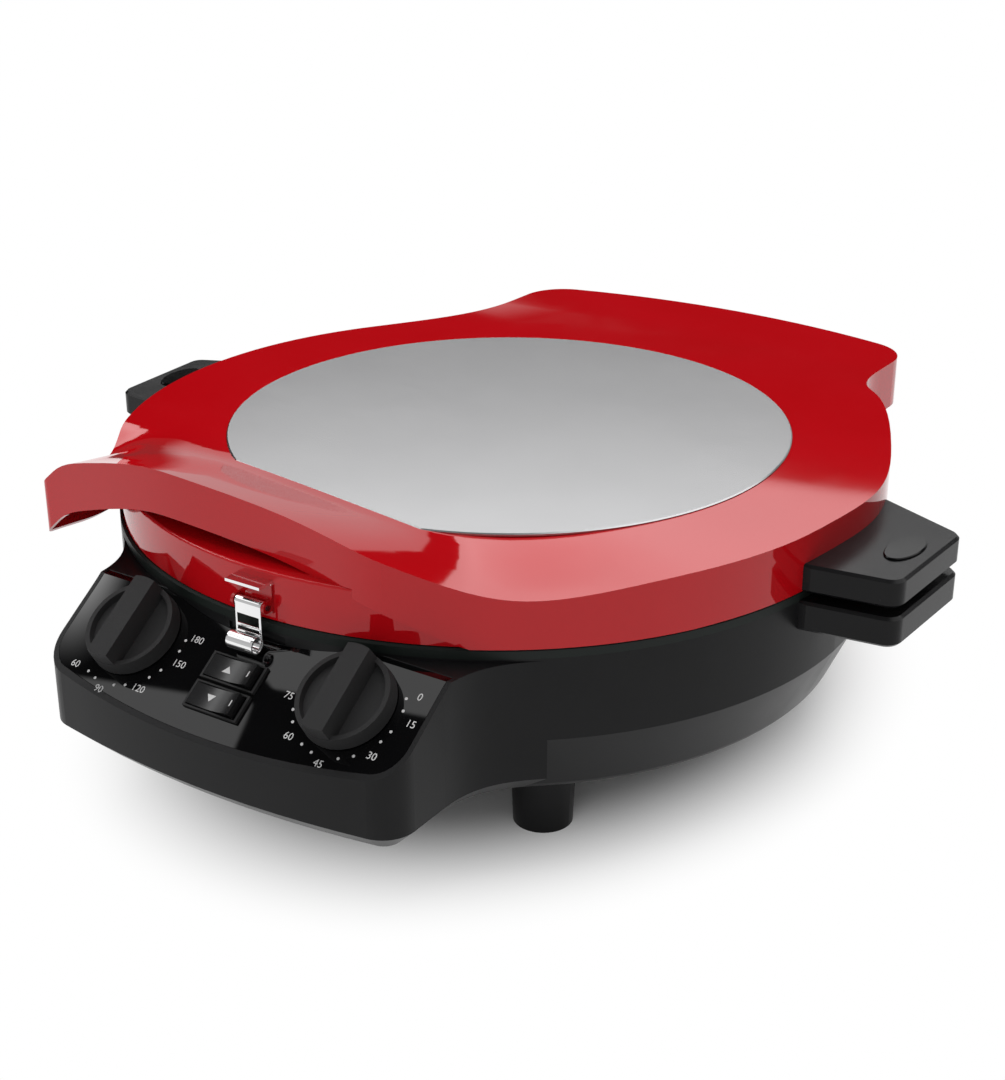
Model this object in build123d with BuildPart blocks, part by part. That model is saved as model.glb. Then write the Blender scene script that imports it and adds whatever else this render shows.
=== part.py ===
"""Electric pizza maker: a round base with a sloped control panel and a hinged red lid.

Millimetres, +Z up. The pieces are drawn round the bowl's axis and moved together at the
end, so that the origin is on the table under the middle of the whole object's box.
The control panel faces -Y, the hinge is at +Y and the side handles lie along X.
"""
import os
from math import cos, exp, hypot, log, radians, sin, sqrt

from build123d import *

os.makedirs("parts", exist_ok=True)

# driving dimensions
body_r = 170.0            # outside of the lid rim, the widest round form
wall = 3.0                # moulded wall of the base
foot_h = 30.0             # table to the underside of the bowl
crease_z = 60.0           # where the upright wall turns in to the belly
belly_r = 157.5           # belly radius just above the underside
belly_z = 34.0            # height of the belly's lower edge
floor_r = 147.0           # flat underside of the bowl
base_step = 1.0           # base wall is this much inside the lid rim
rim_z = 95.0              # top of the base wall
seal_h = 4.2              # black heat seal between base and lid
lid_gap = 0.3             # running gap between seal and lid

panel_tilt = 35.0         # slope of the control panel from level
dial_y = -180.0           # dial centres, front to back
dial_z = 82.3             # height of the panel face at the dial centres
dial_x = 53.5             # dial centres, left and right of the middle
panel_t = 2.0             # glossy panel plate
console_w = 88.0          # half width of the console
console_front = -208.0    # middle of the console's bowed front
console_corner = -199.0   # front at the two corners
console_round = 14.0      # plan radius of the two front corners
flare_y = -168.0          # from here back its sides sweep out into the bowl
flare_angle = -50.0       # and meet it here, in degrees from X
console_z = 36.0          # underside of the console
console_top = 94.0        # flat shoulders beside the panel
console_turn = 7.0        # bevel under the console's front edge
bezel = 2.0               # black frame around the panel plate
plate_ledge = 3.0         # ledge that carries the panel plate

lid_shell_z = 119.5       # top of the inner lid shell
lid_wall = 2.3            # sheet of the inner shell
cover_t = 2.5             # wavy cover skin
skirt_t = 2.0             # cover's turned down edge
skirt_h = 24.0            # height of that edge at the sides
visor_skirt_h = 19.0      # height of that edge at the raised visor
cover_fit = 0.3           # cover skirt to inner shell
deck_z = 123.8            # flat top of the cover round the disc
disc_r = 127.3            # steel disc
disc_y = 10.0             # disc centre, behind the bowl's centre
disc_t = 1.2
disc_fit = 0.3
fold_d = 114.5            # disc centre to the straight fold
fold_turn = 8.6           # the fold runs this much off X
visor_slope = 0.346       # its rise per millimetre in front of the fold

hinge_y = 177.0           # lid hinge axis
hinge_z = 97.4
pin_r = 2.5
pin_fit = 0.05

handle_x = 208.5          # outer face of the handles
handle_lower = (82.5, 95.4)
handle_upper = (99.6, 111.6)

knob_r = 19.5
knob_h = 13.5
shaft_r = 3.0
shaft_fit = 0.05


def panel_plane(offset=0.0, x=0.0, up=0.0):
    """The panel face, moved out along its normal, across and up its slope."""
    tilt = radians(panel_tilt)
    normal = Vector(0, -sin(tilt), cos(tilt))
    slope = Vector(0, cos(tilt), sin(tilt))
    origin = Vector(x, dial_y, dial_z) + normal * offset + slope * up
    return Plane(origin=origin, x_dir=(1, 0, 0), z_dir=normal)


def on_ring(r, degrees, z=0.0):
    """A point on a circle around the Z axis."""
    return (r * cos(radians(degrees)), r * sin(radians(degrees)), z)


# base shell
def console_block(inset, z0, z1, top_offset):
    """The console's prism between two heights, cut off below the panel slope."""
    w = console_w - inset
    corner = console_corner + inset
    along = (-sin(radians(flare_angle)), cos(radians(flare_angle)))
    x, y, _ = on_ring(body_r - base_step, flare_angle)
    x -= inset * along[1]
    y += inset * along[0]
    with BuildPart() as block:
        with BuildSketch(Plane.XY.offset(z0)):
            with BuildLine():
                ThreePointArc((-w, corner), (0, console_front + inset), (w, corner))
                Line((w, corner), (w, flare_y))
                Spline((w, flare_y), (x, y), tangents=((0, 1), along))
                Line((x, y), (-x, y))
                Spline((-x, y), (-w, flare_y), tangents=((along[0], -along[1]), (0, -1)))
                Line((-w, flare_y), (-w, corner))
            make_face()
        extrude(amount=z1 - z0)
        corners = block.edges().filter_by(Axis.Z).sort_by(Axis.Y)[:2]
        fillet(corners, console_round - inset)
        with BuildSketch(panel_plane(top_offset)):
            Rectangle(4 * console_w, 400)
        extrude(amount=200, mode=Mode.SUBTRACT)
    return block.part


base_r = body_r - base_step

with BuildPart() as panel_pocket:
    add(console_block(bezel, console_z, console_top, 0.0))
    with BuildSketch(panel_plane(-panel_t)):
        Rectangle(4 * console_w, 400)
    extrude(amount=-200, mode=Mode.SUBTRACT)
    with BuildSketch():
        Circle(base_r)
    extrude(amount=200, mode=Mode.SUBTRACT)

hollow_inset = bezel + plate_ledge
wiring_top = 84.0         # the base wall is open to the console up to here
shoulder_t = 3.5          # roof of the console beside the panel

with BuildPart() as console_roof:
    add(console_block(hollow_inset, console_z + wall, console_top - shoulder_t, 1.0))
    with BuildSketch():
        Circle(base_r + 0.5)
    extrude(amount=200, mode=Mode.SUBTRACT)

foot_ring = 128.0         # circle of the four feet
foot_angles = (48, 132, 228, 312)
foot_r = 13.5
foot_screw_r = 2.0
gland_angle = 38.0        # cord gland, behind the right handle
gland_z = 47.0
gland_r = 7.0
cord_r = 3.5
boss_wall = 3.0           # plastic round each foot screw
boss_h = 8.0
vent_rows = 5             # cooling slots in the underside
vent_pitch = 12.0
vent_size = (70.0, 4.0)
rest_in = 155.5           # ledge inside the rim that carries the cooking plate's flange
rest_t = 2.5
pan_z = 66.0              # reflector pan under the lower heater
pan_t = 0.8
pan_r = 118.0
post_ring = 104.0         # four posts under the pan
post_r = 5.0
hook_slot = (28.0, 1.6, 3.4)   # latch slot below the rim: wide, deep, high
hook_slot_z = rim_z - 4.6
screw_y = 18.0            # two screws hold each lower handle
screw_z = 86.0
screw_r = 1.6


def screw_holes(r, x0, x1):
    """Level holes for the handle screws, on both sides."""
    with BuildPart() as holes:
        for side in (-1, 1):
            with BuildSketch(Plane(origin=(side * x0, 0, screw_z), x_dir=(0, 1, 0), z_dir=(side, 0, 0))):
                with Locations((-screw_y, 0), (screw_y, 0)):
                    Circle(r)
            extrude(amount=x1 - x0)
    return holes.part


with BuildPart() as base_shell:
    add(console_block(0, console_z, console_top, 0.0))
    under = base_shell.faces().sort_by(Axis.Z)[0]
    front_edges = under.edges().sort_by(Axis.Y)[:-1]
    chamfer(front_edges, length=console_turn)
    with BuildSketch(Plane.XZ) as outer:
        with BuildLine():
            Polyline((0, foot_h), (floor_r, foot_h))
            Spline((floor_r, foot_h), (belly_r, belly_z), tangents=((1, 0), (12, 26)))
            Polyline((belly_r, belly_z), (base_r, crease_z), (base_r, rim_z), (0, rim_z), (0, foot_h))
        make_face()
    revolve(axis=Axis.Z)
    with BuildSketch(Plane.XZ) as inner:
        with BuildLine():
            Polyline((0, foot_h + wall), (floor_r - wall, foot_h + wall),
                     (belly_r - wall, belly_z + wall), (base_r - wall, crease_z + wall / 2),
                     (base_r - wall, rim_z), (0, rim_z), (0, foot_h + wall))
        make_face()
    revolve(axis=Axis.Z, mode=Mode.SUBTRACT)
    add(console_block(hollow_inset, console_z + wall, wiring_top, 1.0), mode=Mode.SUBTRACT)
    add(console_roof.part, mode=Mode.SUBTRACT)
    add(panel_pocket.part, mode=Mode.SUBTRACT)
    # ledge for the cooking plate, and posts for the reflector pan
    with BuildSketch(Plane.XZ):
        with BuildLine():
            Polyline((base_r - wall, rim_z), (rest_in, rim_z), (rest_in, rim_z - rest_t),
                     (base_r - wall - rest_t, rim_z - rest_t), (base_r - wall, rim_z - 2 * rest_t), (base_r - wall, rim_z))
        make_face()
    revolve(axis=Axis.Z)
    with BuildSketch(Plane.XY.offset(foot_h + wall)):
        with PolarLocations(post_ring, 4, 45):
            Circle(post_r)
    extrude(amount=pan_z - pan_t - foot_h - wall)
    # bosses and holes for the four feet
    with BuildSketch(Plane.XY.offset(foot_h + wall)):
        for a in foot_angles:
            with Locations(on_ring(foot_ring, a)[:2]):
                Circle(foot_screw_r + boss_wall)
    extrude(amount=boss_h)
    with BuildSketch(Plane.XY.offset(foot_h)):
        for a in foot_angles:
            with Locations(on_ring(foot_ring, a)[:2]):
                Circle(foot_screw_r)
    extrude(amount=boss_h + wall, mode=Mode.SUBTRACT)
    # cooling slots in the underside
    with BuildSketch(Plane.XY.offset(foot_h)):
        with GridLocations(0, vent_pitch, 1, vent_rows):
            Rectangle(*vent_size)
    extrude(amount=wall, mode=Mode.SUBTRACT)
    add(screw_holes(screw_r + 0.1, 150, 172), mode=Mode.SUBTRACT)
    # hole for the cord gland
    gland_plane = Plane(origin=on_ring(150, gland_angle, gland_z), z_dir=on_ring(1, gland_angle))
    with BuildSketch(gland_plane):
        Circle(gland_r)
    extrude(amount=30, mode=Mode.SUBTRACT)
    # slot below the rim where the lid latch hooks in
    with BuildSketch(Plane.XY.offset(hook_slot_z)):
        with Locations((0, -base_r)):
            Rectangle(hook_slot[0], 2 * hook_slot[1])
    extrude(amount=hook_slot[2], mode=Mode.SUBTRACT)
base_shell.part.label = "base_shell"

# control panel
switch_ups = (-3.0, -16.2)     # the two rocker switches, up the slope
switch_l = 27.0
switch_w = 12.2
with BuildPart() as control_panel:
    add(console_block(bezel + 0.15, console_z, console_top - 0.2, 0.0))
    with BuildSketch(panel_plane(-panel_t)):
        Rectangle(4 * console_w, 400)
    extrude(amount=-200, mode=Mode.SUBTRACT)
    with BuildSketch():
        Circle(base_r + 0.15)
    extrude(amount=200, mode=Mode.SUBTRACT)
    with BuildSketch(panel_plane(-panel_t - 1)):
        with Locations((-dial_x, 0), (dial_x, 0)):
            Circle(shaft_r + 1.0)
        with Locations(*[(0, up) for up in switch_ups]):
            Rectangle(switch_l, switch_w)
    extrude(amount=panel_t + 2, mode=Mode.SUBTRACT)
control_panel.part.label = "control_panel"


# thermostat, timer, shafts and knobs
body_drop = -panel_t           # the bodies hang under the panel plate


def dial_body(x, size, depth, is_square):
    """A body hung under the panel with a bore for its shaft and four blade tags."""
    with BuildPart() as body:
        with BuildSketch(panel_plane(body_drop, x)):
            if is_square:
                RectangleRounded(size, size, 3)
            else:
                Circle(size / 2)
        extrude(amount=-depth)
        with BuildSketch(panel_plane(body_drop, x)):
            Circle(shaft_r + shaft_fit)
        extrude(amount=-10, mode=Mode.SUBTRACT)
        with BuildSketch(panel_plane(body_drop - depth, x)):
            with GridLocations(size / 3, size / 2, 2, 2):
                Rectangle(6, 0.8)
        extrude(amount=-7)
    return body.part


with BuildPart() as thermostat:
    add(dial_body(-dial_x, 25, 16, True))
thermostat.part.label = "thermostat"

with BuildPart() as timer:
    add(dial_body(dial_x, 27, 17, False))
timer.part.label = "timer"


def shaft_solid(x):
    """A D shaft from inside its body up into the knob."""
    with BuildPart() as shaft:
        with BuildSketch(panel_plane(body_drop - 9.7, x)):
            Circle(shaft_r)
        extrude(amount=9.7 + panel_t + bore_top)
        with BuildSketch(panel_plane(2, x)):
            with Locations((0, shaft_r + 2 - 1)):
                Rectangle(10, 4)
        extrude(amount=12, mode=Mode.SUBTRACT)
    return shaft.part


knob_gap = 0.6
skirt_top = 7.0               # the knob's round body above the panel
lip_w = 2.4                   # narrow lip round the dished face
dish_depth = 2.6
bar_w = 11.0                  # grip bar
bore_top = 9.0


def knob_solid(x):
    """A low round body with a grip bar and a scooped dish at each side of it."""
    with BuildPart() as knob:
        with BuildSketch(panel_plane(knob_gap, x)):
            Circle(knob_r)
        extrude(amount=skirt_top - knob_gap, taper=4)
        # dished face inside a narrow lip
        with BuildSketch(panel_plane(skirt_top, x)):
            Circle(knob_r - lip_w)
        extrude(amount=-dish_depth, taper=12, mode=Mode.SUBTRACT)
        with BuildSketch(panel_plane(skirt_top - 3, x)):
            Circle(knob_r - 0.4)
            Rectangle(bar_w, 3 * knob_r, mode=Mode.INTERSECT)
        extrude(amount=knob_h - skirt_top + 3, taper=3)
        # bore for the D shaft
        with BuildSketch(panel_plane(knob_gap, x)):
            Circle(shaft_r)
        extrude(amount=bore_top - knob_gap, mode=Mode.SUBTRACT)
    return knob.part


with BuildPart() as temperature_shaft:
    add(shaft_solid(-dial_x))
temperature_shaft.part.label = "temperature_shaft"

with BuildPart() as timer_shaft:
    add(shaft_solid(dial_x))
timer_shaft.part.label = "timer_shaft"

with BuildPart() as temperature_knob:
    add(knob_solid(-dial_x))
temperature_knob.part.label = "temperature_knob"

with BuildPart() as timer_knob:
    add(knob_solid(dial_x))
timer_knob.part.label = "timer_knob"


# rocker switches
bezel_h = 1.4                  # switch frame above the panel
rocker_l = 23.0
rocker_w = 9.4
rocker_tilt = 7.0              # either way from level; built with the left end pressed
rocker_pin_r = 1.0
well_fit = 0.5                 # rocker to its well, each side


def switch_plane(offset, up):
    return panel_plane(offset, 0.0, up)


def switch_housing(up):
    """A switch body through the panel, with a well and two pivot holes for its rocker."""
    with BuildPart() as housing:
        with BuildSketch(switch_plane(-12, up)):
            Rectangle(switch_l - 0.4, switch_w - 0.4)
        extrude(amount=12 + bezel_h)
        with BuildSketch(switch_plane(-7.4, up)):
            Rectangle(rocker_l + 2 * well_fit + 0.6, rocker_w + 2 * well_fit)
        extrude(amount=20, mode=Mode.SUBTRACT)
        cross = Plane(origin=switch_plane(-1, up).origin, x_dir=(1, 0, 0), z_dir=switch_plane(0, up).y_dir)
        with BuildSketch(cross.offset(-rocker_w / 2 - 1)):
            Circle(rocker_pin_r + 0.05)
        extrude(amount=rocker_w + 2, mode=Mode.SUBTRACT)
        with BuildSketch(switch_plane(-12, up)):
            with GridLocations(7, 0, 3, 1):
                Rectangle(0.8, 5)
        extrude(amount=-7)
    return housing.part


def rocker(up):
    """A rocker with two shallow slopes and a pivot pin at each side, left end pressed."""
    pivot = switch_plane(-1, up)
    turn = Vector(cos(radians(rocker_tilt)), 0, 0) + pivot.z_dir * sin(radians(rocker_tilt))
    with BuildPart() as body:
        with BuildSketch(Plane(origin=pivot.origin, x_dir=turn, z_dir=-pivot.y_dir).offset(-rocker_w / 2)):
            with BuildLine():
                Polyline((-rocker_l / 2, 0.6), (-rocker_l / 2, 4.4))
                ThreePointArc((-rocker_l / 2, 4.4), (0, 2.6), (rocker_l / 2, 4.4))
                Polyline((rocker_l / 2, 4.4), (rocker_l / 2, 0.6), (5.5, -4.6), (-5.5, -4.6), (-rocker_l / 2, 0.6))
            make_face()
        extrude(amount=rocker_w)
        with BuildSketch(Plane(origin=pivot.origin, x_dir=turn, z_dir=-pivot.y_dir).offset(-rocker_w / 2 - 0.9)):
            Circle(rocker_pin_r)
        extrude(amount=rocker_w + 1.8)
    return body.part


with BuildPart() as upper_heat_switch:
    add(switch_housing(switch_ups[0]))
upper_heat_switch.part.label = "upper_heat_switch"

with BuildPart() as lower_heat_switch:
    add(switch_housing(switch_ups[1]))
lower_heat_switch.part.label = "lower_heat_switch"

with BuildPart() as upper_heat_rocker:
    add(rocker(switch_ups[0]))
upper_heat_rocker.part.label = "upper_heat_rocker"

with BuildPart() as lower_heat_rocker:
    add(rocker(switch_ups[1]))
lower_heat_rocker.part.label = "lower_heat_rocker"

# seal, cooking plate, heater and reflector in the base
flange_t = 2.0
plate_r = 150.0                # inside of the cooking plate, for a 30 cm pizza
plate_depth = 15.0
plate_t = 2.0
flange_r = 163.0
seal_in = flange_r + 0.3

with BuildPart() as heat_seal:
    with BuildSketch(Plane.XY.offset(rim_z)):
        Circle(base_r)
        Circle(seal_in, mode=Mode.SUBTRACT)
    extrude(amount=seal_h)
    chamfer(heat_seal.edges().group_by(Axis.Z)[-1], length=0.8)
heat_seal.part.label = "heat_seal"

plate_floor = rim_z - plate_depth

with BuildPart() as lower_plate:
    with BuildSketch(Plane.XZ):
        with BuildLine():
            Polyline((0, plate_floor), (plate_r - 4, plate_floor), (plate_r, plate_floor + 4),
                     (plate_r + 1, rim_z + flange_t), (flange_r, rim_z + flange_t), (flange_r, rim_z),
                     (plate_r + 1 + plate_t, rim_z), (plate_r + plate_t, plate_floor + 3),
                     (plate_r - 3, plate_floor - plate_t), (0, plate_floor - plate_t), (0, plate_floor))
        make_face()
    revolve(axis=Axis.Z)
lower_plate.part.label = "lower_plate"

heater_tube_r = 3.2
heater_ring = 96.0
lead_angle = 8.0               # half the gap where the two cold ends leave the ring
heater_gap = 0.3


def heater_solid(z, drop, ring):
    """A pressed tubular element: one open ring whose two ends turn away to their leads."""
    a = radians(lead_angle)
    r = ring
    start = Vector(r * sin(a), r * cos(a), z)
    end = Vector(-r * sin(a), r * cos(a), z)
    with BuildPart() as heater:
        with BuildLine():
            ThreePointArc(tuple(start), (0, -r, z), tuple(end))
        with BuildSketch(Plane(origin=start, x_dir=(0, 0, 1), z_dir=(cos(a), -sin(a), 0))):
            RegularPolygon(heater_tube_r, 6, major_radius=False, rotation=30)
        sweep()
        for side in (1, -1):
            with BuildSketch(Plane(origin=(side * r * sin(a), r * cos(a), z), z_dir=(0, 0, drop))):
                Circle(heater_tube_r)
            extrude(amount=abs(drop))
    return heater.part


lower_heater_z = plate_floor - plate_t - heater_gap - heater_tube_r
with BuildPart() as lower_heater:
    add(heater_solid(lower_heater_z, -16, heater_ring))
lower_heater.part.label = "lower_heater"

with BuildPart() as lower_reflector:
    with BuildSketch(Plane.XZ):
        with BuildLine():
            Polyline((0, pan_z), (pan_r - 6, pan_z), (pan_r, pan_z + 8), (pan_r + 8, pan_z + 8),
                     (pan_r + 8, pan_z + 8 - pan_t), (pan_r + 0.6, pan_z + 8 - pan_t),
                     (pan_r - 5.6, pan_z - pan_t), (0, pan_z - pan_t), (0, pan_z))
        make_face()
    revolve(axis=Axis.Z)
    with BuildSketch(Plane.XY.offset(pan_z - 2)):
        with Locations((heater_ring * sin(radians(lead_angle)), heater_ring * cos(radians(lead_angle))),
                       (-heater_ring * sin(radians(lead_angle)), heater_ring * cos(radians(lead_angle)))):
            Circle(heater_tube_r + 0.8)
    extrude(amount=4, mode=Mode.SUBTRACT)
lower_reflector.part.label = "lower_reflector"

with BuildPart() as heater_clips:
    for a in (0, 180, 270):
        clip = Plane(origin=on_ring(heater_ring, a, pan_z), x_dir=on_ring(1, a), z_dir=(0, 0, 1))
        with BuildSketch(clip):
            Rectangle(14, 8)
        extrude(amount=lower_heater_z - heater_tube_r - pan_z + 1.2)
        with BuildSketch(clip.offset(0.8)):
            Rectangle(10, 9)
        extrude(amount=lower_heater_z - heater_tube_r - pan_z - 1.6, mode=Mode.SUBTRACT)
    add(heater_solid(lower_heater_z, -16, heater_ring), mode=Mode.SUBTRACT)
heater_clips.part.label = "heater_clips"

# feet and cord gland
foot_floor = 6.0               # plastic left under the bowl, which the screw clamps
foot_hollow_r = 5.0
foot_draft = 2.0               # degrees; the feet narrow a little towards the table
foot_head = (3.8, 2.6)         # screw head radius and height

with BuildPart() as feet:
    for a in foot_angles:
        x, y, _ = on_ring(foot_ring, a)
        with BuildSketch(Plane((x, y, foot_h))):
            Circle(foot_r)
        extrude(amount=-foot_h, taper=foot_draft)
    with BuildSketch():
        for a in foot_angles:
            with Locations(on_ring(foot_ring, a)[:2]):
                Circle(foot_hollow_r)
    extrude(amount=foot_h - foot_floor, mode=Mode.SUBTRACT)
    with BuildSketch():
        for a in foot_angles:
            with Locations(on_ring(foot_ring, a)[:2]):
                Circle(foot_screw_r)
    extrude(amount=foot_h, mode=Mode.SUBTRACT)
feet.part.label = "feet"

with BuildPart() as foot_screws:
    with BuildSketch(Plane.XY.offset(foot_h - foot_floor - foot_head[1])):
        for a in foot_angles:
            with Locations(on_ring(foot_ring, a)[:2]):
                RegularPolygon(foot_head[0], 6, major_radius=False)
    extrude(amount=foot_head[1])
    with BuildSketch(Plane.XY.offset(foot_h - foot_floor)):
        for a in foot_angles:
            with Locations(on_ring(foot_ring, a)[:2]):
                Circle(foot_screw_r - 0.05)
    extrude(amount=foot_floor + wall + boss_h - 2)
foot_screws.part.label = "foot_screws"

with BuildPart() as cord_gland:
    gland_mouth = Plane(origin=on_ring(168, gland_angle, gland_z), z_dir=on_ring(-1, gland_angle))
    with BuildSketch(gland_mouth):
        Circle(gland_r + 2.5)
    extrude(amount=20)
    with BuildSketch(Plane.XZ):
        with BuildLine():
            Polyline((0, belly_z), (belly_r, belly_z), (base_r, crease_z), (base_r, rim_z), (0, rim_z), (0, belly_z))
        make_face()
    revolve(axis=Axis.Z, mode=Mode.SUBTRACT)
    with BuildSketch(gland_mouth):
        Circle(gland_r - 0.05)
    extrude(amount=24)
    with BuildSketch(gland_mouth):
        Circle(cord_r)
    extrude(amount=24, mode=Mode.SUBTRACT)
cord_gland.part.label = "cord_gland"

# side handles
root_front = -33.0             # a handle's front flank, where it meets the body
root_back = 48.0               # its back flank there
grip_front = -28.5             # the same flanks at its outer face
grip_back = 30.0
grip_slant = 3.0               # the outer face is this much nearer in front
grip_round = 7.0
pad_at = (194.5, 3.0)
pad_size = (13.5, 27.0)
pad_turn = -5.0


def handle_solid(side, z0, z1, root_r):
    """A tapered grip in plan, rounded all round and seated on a round wall."""
    with BuildPart() as handle:
        with BuildSketch(Plane.XY.offset(z0)) as plan:
            with BuildLine():
                Polyline((150, root_front), (root_r, root_front), (handle_x - grip_slant, grip_front),
                         (handle_x, grip_back), (root_r, root_back), (150, root_back), (150, root_front))
            make_face()
            fillet(plan.vertices().sort_by(Axis.X)[-2:], grip_round)
        extrude(amount=z1 - z0)
        with BuildSketch(Plane.XY.offset(z0)):
            Circle(root_r)
        extrude(amount=z1 - z0, mode=Mode.SUBTRACT)
        rim = handle.edges().group_by(Axis.Z)[-1] + handle.edges().group_by(Axis.Z)[0]
        chamfer(rim.filter_by(lambda e: e.center().X > root_r + 1), length=1.2)
        if side < 0:
            mirror(about=Plane.YZ, mode=Mode.REPLACE)
    return handle.part


with BuildPart() as lower_handle_right:
    add(handle_solid(1, *handle_lower, base_r))
    add(screw_holes(screw_r, 150, 182), mode=Mode.SUBTRACT)
lower_handle_right.part.label = "lower_handle_right"

with BuildPart() as lower_handle_left:
    add(handle_solid(-1, *handle_lower, base_r))
    add(screw_holes(screw_r, 150, 182), mode=Mode.SUBTRACT)
lower_handle_left.part.label = "lower_handle_left"

screw_head = (3.0, 2.4)        # across half its flats, and height
screw_l = 18.0

with BuildPart() as handle_screws:
    for side in (-1, 1):
        for y in (-screw_y, screw_y):
            seat = sqrt((base_r - wall) ** 2 - (screw_y + screw_head[0] + 0.5) ** 2)
            head = Plane(origin=(side * (seat - screw_head[1]), y, screw_z), z_dir=(side, 0, 0))
            with BuildSketch(head):
                RegularPolygon(screw_head[0], 6, major_radius=False)
            extrude(amount=screw_head[1])
            with BuildSketch(head):
                Circle(screw_r)
            extrude(amount=screw_l)
handle_screws.part.label = "handle_screws"

# lid: inner shell, upper plate, heater and reflector
lid_z = rim_z + seal_h + lid_gap
lid_r = body_r - skirt_t - cover_fit
lid_top_t = 2.4

# the wavy cover surface, in terms of plan position
disc_mid = Vector(0, disc_y, 0)
fold_dir = Vector(-sin(radians(fold_turn)), -cos(radians(fold_turn)), 0)
visor_x = -49.0                # the visor's highest point, left of the middle
visor_right = 150.0            # how far it fades to the right
visor_left = 50.0              # and how fast to the left
tongue_x = -131.0              # left side of the visor's tongue
roll_x = -110.0                # the tongue rolls down outside this line
roll_width = 36.0              # over this width, to past its left side
roll_depth = 16.0
dip_at = (104.0, -132.0)       # shallow dip in front of the right handle
dip_depth = 4.4
dip_size = 27.0
tail_drop = 1.8                # the tail falls a little towards the rear
tail_starts = 115.0
tail_run = 90.0


def smooth(t):
    t = min(max(t, 0.0), 1.0)
    return t * t * (3 - 2 * t)


def past_fold(x, y):
    """Distance in front of the fold, rounded off over a few millimetres."""
    d = (Vector(x, y, 0) - disc_mid).dot(fold_dir) - fold_d
    soft = 4.0
    return d if d > 8 * soft else soft * log(1 + exp(d / soft))


def visor_fade(x):
    """How much of the visor's rise is left at x."""
    if x > visor_x:
        return (1 - min((x - visor_x) / visor_right, 1.0) ** 3) ** 1.3
    return exp(-(((x - visor_x) / visor_left) ** 2) / 2)


def cover_z(x, y):
    """Height of the cover's outer face."""
    z = deck_z - tail_drop * smooth((y - tail_starts) / tail_run)
    z += visor_slope * past_fold(x, y) * visor_fade(x)
    tongue = smooth((-85.0 - y) / 40.0)
    z -= roll_depth * smooth((roll_x - x) / roll_width) * tongue
    z -= dip_depth * exp(-((x - dip_at[0]) ** 2 + (y - dip_at[1]) ** 2) / (2 * dip_size ** 2))
    return z


def skirt_drop(x, y):
    """Height of the turned down edge, less at the visor."""
    return skirt_h - (skirt_h - visor_skirt_h) * smooth(past_fold(x, y) / 40.0) * visor_fade(x)


grid_x = 24
grid_y = 26
span_x = (-178.0, 178.0)
span_y = (-172.0, 240.0)


def wavy_block(lower, amount, drop=None):
    """A block whose top is the cover surface, lowered, and which reaches down by amount."""
    sections = []
    for i in range(grid_x + 1):
        x = span_x[0] + (span_x[1] - span_x[0]) * i / grid_x
        line = []
        for j in range(grid_y + 1):
            y = span_y[0] + (span_y[1] - span_y[0]) * j / grid_y
            z = cover_z(x, y) - lower - (drop(x, y) if drop else 0)
            line.append(Vector(x, y, z))
        sections.append(Wire([Edge.make_spline(line)]))
    skin = Shell.make_loft(sections, False).faces()[0]
    return Solid.extrude(skin, Vector(0, 0, -amount))


# plan outline of the cover: round flanks, a tail over the hinge and a visor in front
tail_y = 231.0                 # rear edge
ear_x = 109.0                  # half width of the tail
ear_y = 214.0                  # its rear corners
ear_round = 24.0
flank_top = 30.0               # the round left flank ends this far above X, in degrees
swell_start = -8.0             # the right flank leaves the circle here
swell = (171.8, 27.0)          # its fullest point
shoulder = (156.4, 78.0)       # where it turns in
waist = (121.6, 142.0)         # and the hollow before the tail
flank_front = -71.0            # and here on the right, before the visor
flank_left = 211.0             # and here on the left, before the tongue
visor_y = -158.0               # visor's front edge
tongue_round = 5.0
ear_base = 178.0               # the tail's straight sides start here
tongue_base = -126.0           # and the tongue's straight side here
visor_left_x = -50.0           # points that bow the visor's front edge
visor_right_x = 20.0
visor_bow = 1.5


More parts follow.
